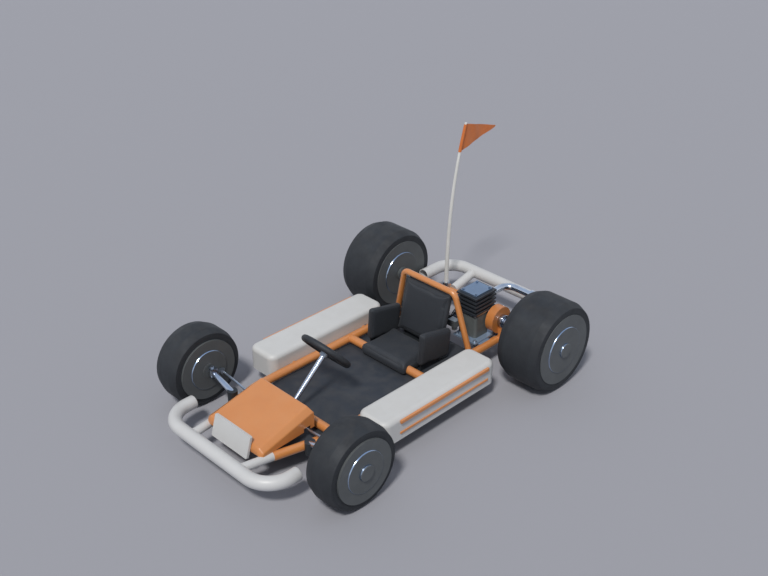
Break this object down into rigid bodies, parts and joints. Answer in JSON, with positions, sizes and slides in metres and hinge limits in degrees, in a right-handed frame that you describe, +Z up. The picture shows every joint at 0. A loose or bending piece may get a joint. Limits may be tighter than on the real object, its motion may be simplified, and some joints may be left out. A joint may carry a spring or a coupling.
{
  "type": "racing kart",
  "caption": "Low tube-frame racing kart with wedge nose, side pods, bumpers, padded seat, rear engine driving a live axle, steered front wheels, pedals and a tall pennant.",
  "frame": {"origin": "on the ground under the middle of the whole length, on the centre plane", "axes": "+X to the driver's left, +Y to the rear, +Z up; the nose faces -Y"},
  "size_m": [1.113, 1.7569, 0.874],
  "materials": {
    "frame_orange": "gloss enamel over welded steel tube",
    "panel_orange": "gloss moulded panel",
    "brake_orange": "satin enamel",
    "bumper_white": "gloss white enamel",
    "pod_white": "gloss white moulding",
    "pan_blue_grey": "satin blue-grey coating",
    "seat_black": "matt black upholstery",
    "grip_black": "matt black grip",
    "dark_steel": "satin dark grey",
    "bright_steel": "zinc-bright steel",
    "polished_steel": "polished steel",
    "exhaust_chrome": "chrome, slightly tinted by heat",
    "tyre_rubber": "slick rubber",
    "wheel_grey": "satin grey with bright machined edges",
    "chain_steel": "oiled steel",
    "engine_plate": "polished blue-grey alloy",
    "engine_grey": "cast grey",
    "fin_black": "black-coated cast fins",
    "plug_white": "glazed ceramic",
    "carburettor_grey": "light cast alloy",
    "filter_black": "black foam over mesh",
    "tank_black": "matt black moulding",
    "pole_cream": "glass-fibre rod",
    "pennant_orange": "light woven cloth"
  },
  "bodies": {
    "root": {"left_rail": "frame_orange", "right_rail": "frame_orange", "front_crossmember": "frame_orange", "seat_crossmember": "frame_orange", "rear_crossmember": "frame_orange", "side_pod_bars": "frame_orange", "seat_hoop": "frame_orange", "axle_carriers": "frame_orange", "nose_cone": "panel_orange", "side_pod_strips": "panel_orange", "brake_shoes": "brake_orange", "front_bumper": "bumper_white", "rear_bumper": "bumper_white", "front_bumper_struts": "bumper_white", "rear_bumper_struts": "bumper_white", "left_side_pod": "pod_white", "right_side_pod": "pod_white", "number_plate": "pod_white", "floor_pan": "pan_blue_grey", "seat_base_cushion": "seat_black", "seat_back_cushion": "seat_black", "left_seat_bolster": "seat_black", "right_seat_bolster": "seat_black", "seat_frame": "dark_steel", "column_support": "dark_steel", "axle_clamps": "dark_steel", "pedal_brackets": "dark_steel", "kingpins": "bright_steel", "front_axle_beams": "polished_steel", "exhaust_pipe": "exhaust_chrome", "drive_chain": "chain_steel", "engine_mount": "engine_plate", "cylinder_head": "engine_plate", "engine_block": "engine_grey", "cooling_fins": "fin_black", "spark_plug": "plug_white", "carburettor": "carburettor_grey", "air_filter": "filter_black", "fuel_tank": "tank_black", "flag_pole": "pole_cream", "flag_pennant": "pennant_orange"},
    "steering": {"steering_column": "polished_steel", "steering_wheel_grip": "grip_black", "steering_wheel_spider": "bright_steel"},
    "left_upright": {"left_knuckle": "bright_steel"},
    "right_upright": {"right_knuckle": "bright_steel"},
    "left_link": {"left_tie_rod": "bright_steel"},
    "right_link": {"right_tie_rod": "bright_steel"},
    "front_left_wheel": {"front_left_tyre": "tyre_rubber", "front_left_rim": "wheel_grey"},
    "front_right_wheel": {"front_right_tyre": "tyre_rubber", "front_right_rim": "wheel_grey"},
    "rear_axle_set": {"rear_axle": "polished_steel", "rear_tyres": "tyre_rubber", "rear_rims": "wheel_grey", "brake_drum": "brake_orange", "axle_sprocket": "dark_steel"},
    "crankshaft": {"engine_sprocket": "bright_steel"},
    "brake_lever": {"brake_pedal": "brake_orange"},
    "throttle_lever": {"throttle_pedal": "bright_steel"}
  },
  "joints": [
    {"name": "steering_turn", "type": "hinge", "parent": "root", "child": "steering", "pos_m": [0, -0.47986, 0.128], "axis": [0, 0.7478, 0.6639], "range_deg": [-28, 28]},
    {"name": "left_steer", "type": "hinge", "parent": "root", "child": "left_upright", "pos_m": [0.345, -0.58986, 0.16], "axis": [0, 0, 1], "range_deg": [-15.5, 15.5]},
    {"name": "right_steer", "type": "hinge", "parent": "root", "child": "right_upright", "pos_m": [-0.345, -0.58986, 0.16], "axis": [0, 0, 1], "range_deg": [-15.5, 15.5]},
    {"name": "left_link_turn", "type": "hinge", "parent": "left_upright", "child": "left_link", "pos_m": [0.345, -0.54186, 0.1405], "axis": [0, 0, 1], "range_deg": [-15.5, 15.5]},
    {"name": "right_link_turn", "type": "hinge", "parent": "right_upright", "child": "right_link", "pos_m": [-0.345, -0.54186, 0.1405], "axis": [0, 0, 1], "range_deg": [-15.5, 15.5]},
    {"name": "front_left_spin", "type": "hinge", "parent": "left_upright", "child": "front_left_wheel", "pos_m": [0.4355, -0.58986, 0.16], "axis": [1, 0, 0], "continuous": true},
    {"name": "front_right_spin", "type": "hinge", "parent": "right_upright", "child": "front_right_wheel", "pos_m": [-0.4355, -0.58986, 0.16], "axis": [1, 0, 0], "continuous": true},
    {"name": "rear_axle_spin", "type": "hinge", "parent": "root", "child": "rear_axle_set", "pos_m": [0, 0.46014, 0.189], "axis": [1, 0, 0], "continuous": true},
    {"name": "crank_spin", "type": "hinge", "parent": "root", "child": "crankshaft", "pos_m": [0.05, 0.37514, 0.17], "axis": [1, 0, 0], "continuous": true},
    {"name": "brake_press", "type": "hinge", "parent": "root", "child": "brake_lever", "pos_m": [0.078, -0.61186, 0.0942], "axis": [1, 0, 0], "range_deg": [0, 25], "stiffness_Nm_per_rad": 2, "springref_deg": -8.59},
    {"name": "throttle_press", "type": "hinge", "parent": "root", "child": "throttle_lever", "pos_m": [-0.078, -0.61186, 0.0942], "axis": [1, 0, 0], "range_deg": [0, 25], "stiffness_Nm_per_rad": 2, "springref_deg": -8.59}
  ],
  "couplings": [
    {"joint": "left_steer", "follows": "steering_turn", "ratio": -0.55},
    {"joint": "right_steer", "follows": "steering_turn", "ratio": -0.55},
    {"joint": "left_link_turn", "follows": "steering_turn", "ratio": 0.55},
    {"joint": "right_link_turn", "follows": "steering_turn", "ratio": 0.55},
    {"joint": "crank_spin", "follows": "rear_axle_spin", "ratio": 2.5}
  ]
}
